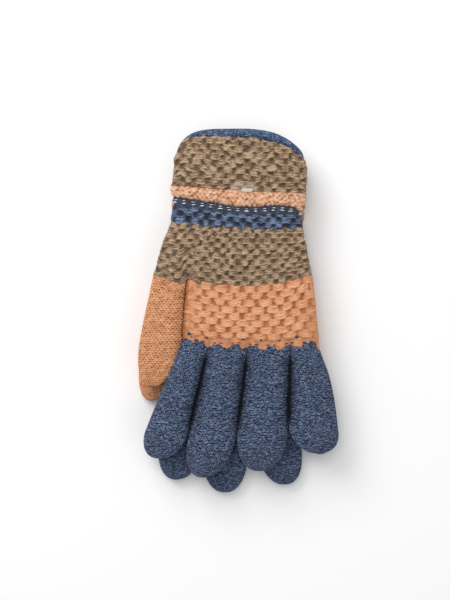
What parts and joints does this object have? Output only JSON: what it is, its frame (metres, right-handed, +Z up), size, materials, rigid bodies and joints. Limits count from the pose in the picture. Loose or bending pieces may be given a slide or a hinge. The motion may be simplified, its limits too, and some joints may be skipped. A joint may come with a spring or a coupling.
{
  "type": "pair of knitted gloves",
  "caption": "Pair of lined winter gloves in striped bobble knit with plain-knit fingers and thumbs, laid flat palm to palm, each digit bending at its base.",
  "frame": {"origin": "on the table under the middle of the pair, on the resting face of the lower (right) glove", "axes": "+Z up from the table, +Y from the fingertips to the cuffs, thumbs on the -X side"},
  "size_m": [0.1308, 0.2381, 0.0293],
  "materials": {
    "navy_yarn": "matt brushed melange knit",
    "tan_yarn": "matt bobble-stitch knit",
    "peach_yarn": "matt knit",
    "navy_fleece": "soft brushed fleece",
    "white_elastic": "matt elastic yarn",
    "clear_plastic": "clear, glossy"
  },
  "bodies": {
    "right_hand": {"right_cuff_hem": "navy_yarn", "right_cuff_band": "tan_yarn", "right_rolled_welt": "peach_yarn", "right_wrist_stripe": "navy_yarn", "right_wrist_panel": "tan_yarn", "right_hand_panel": "peach_yarn", "right_elastic_thread_1": "white_elastic", "right_elastic_thread_2": "white_elastic", "right_cuff_lining": "navy_fleece", "right_hand_lining": "navy_fleece"},
    "right_thumb": {"right_thumb": "peach_yarn", "right_thumb_lining": "navy_fleece"},
    "right_index_finger": {"right_index_finger": "navy_yarn", "right_index_finger_lining": "navy_fleece"},
    "right_middle_finger": {"right_middle_finger": "navy_yarn", "right_middle_finger_lining": "navy_fleece"},
    "right_ring_finger": {"right_ring_finger": "navy_yarn", "right_ring_finger_lining": "navy_fleece"},
    "right_little_finger": {"right_little_finger": "navy_yarn", "right_little_finger_lining": "navy_fleece"},
    "left_hand": {"left_cuff_hem": "navy_yarn", "left_cuff_band": "tan_yarn", "left_rolled_welt": "peach_yarn", "left_wrist_stripe": "navy_yarn", "left_wrist_panel": "tan_yarn", "left_hand_panel": "peach_yarn", "left_elastic_thread_1": "white_elastic", "left_elastic_thread_2": "white_elastic", "left_cuff_lining": "navy_fleece", "left_hand_lining": "navy_fleece", "tag_tab": "clear_plastic"},
    "left_thumb": {"left_thumb": "peach_yarn", "left_thumb_lining": "navy_fleece"},
    "left_index_finger": {"left_index_finger": "navy_yarn", "left_index_finger_lining": "navy_fleece"},
    "left_middle_finger": {"left_middle_finger": "navy_yarn", "left_middle_finger_lining": "navy_fleece"},
    "left_ring_finger": {"left_ring_finger": "navy_yarn", "left_ring_finger_lining": "navy_fleece"},
    "left_little_finger": {"left_little_finger": "navy_yarn", "left_little_finger_lining": "navy_fleece"}
  },
  "joints": [
    {"name": "pair_opening", "type": "hinge", "parent": "right_hand", "child": "left_hand", "pos_m": [0, 0.1182, 0.0134], "axis": [-1, 0, 0], "range_deg": [0, 90]},
    {"name": "right_thumb_bend", "type": "hinge", "parent": "right_hand", "child": "right_thumb", "pos_m": [-0.0448, 0.0078, 0], "axis": [1, 0, 0], "range_deg": [0, 60]},
    {"name": "right_index_finger_bend", "type": "hinge", "parent": "right_hand", "child": "right_index_finger", "pos_m": [-0.0283, -0.03225, 0], "axis": [1, 0, 0], "range_deg": [0, 75]},
    {"name": "right_middle_finger_bend", "type": "hinge", "parent": "right_hand", "child": "right_middle_finger", "pos_m": [-0.0064, -0.03499, 0], "axis": [1, 0, 0], "range_deg": [0, 75]},
    {"name": "right_ring_finger_bend", "type": "hinge", "parent": "right_hand", "child": "right_ring_finger", "pos_m": [0.019, -0.0352, 0], "axis": [1, 0, 0], "range_deg": [0, 75]},
    {"name": "right_little_finger_bend", "type": "hinge", "parent": "right_hand", "child": "right_little_finger", "pos_m": [0.043, -0.03248, 0], "axis": [1, 0, 0], "range_deg": [0, 75]},
    {"name": "left_thumb_bend", "type": "hinge", "parent": "left_hand", "child": "left_thumb", "pos_m": [-0.0448, 0.0178, 0.0254], "axis": [-1, 0, 0], "range_deg": [0, 60]},
    {"name": "left_index_finger_bend", "type": "hinge", "parent": "left_hand", "child": "left_index_finger", "pos_m": [-0.0283, -0.02225, 0.0268], "axis": [-1, 0, 0], "range_deg": [0, 75]},
    {"name": "left_middle_finger_bend", "type": "hinge", "parent": "left_hand", "child": "left_middle_finger", "pos_m": [-0.0064, -0.02499, 0.0268], "axis": [-1, 0, 0], "range_deg": [0, 75]},
    {"name": "left_ring_finger_bend", "type": "hinge", "parent": "left_hand", "child": "left_ring_finger", "pos_m": [0.019, -0.0252, 0.0268], "axis": [-1, 0, 0], "range_deg": [0, 75]},
    {"name": "left_little_finger_bend", "type": "hinge", "parent": "left_hand", "child": "left_little_finger", "pos_m": [0.043, -0.02248, 0.0268], "axis": [-1, 0, 0], "range_deg": [0, 75]}
  ]
}
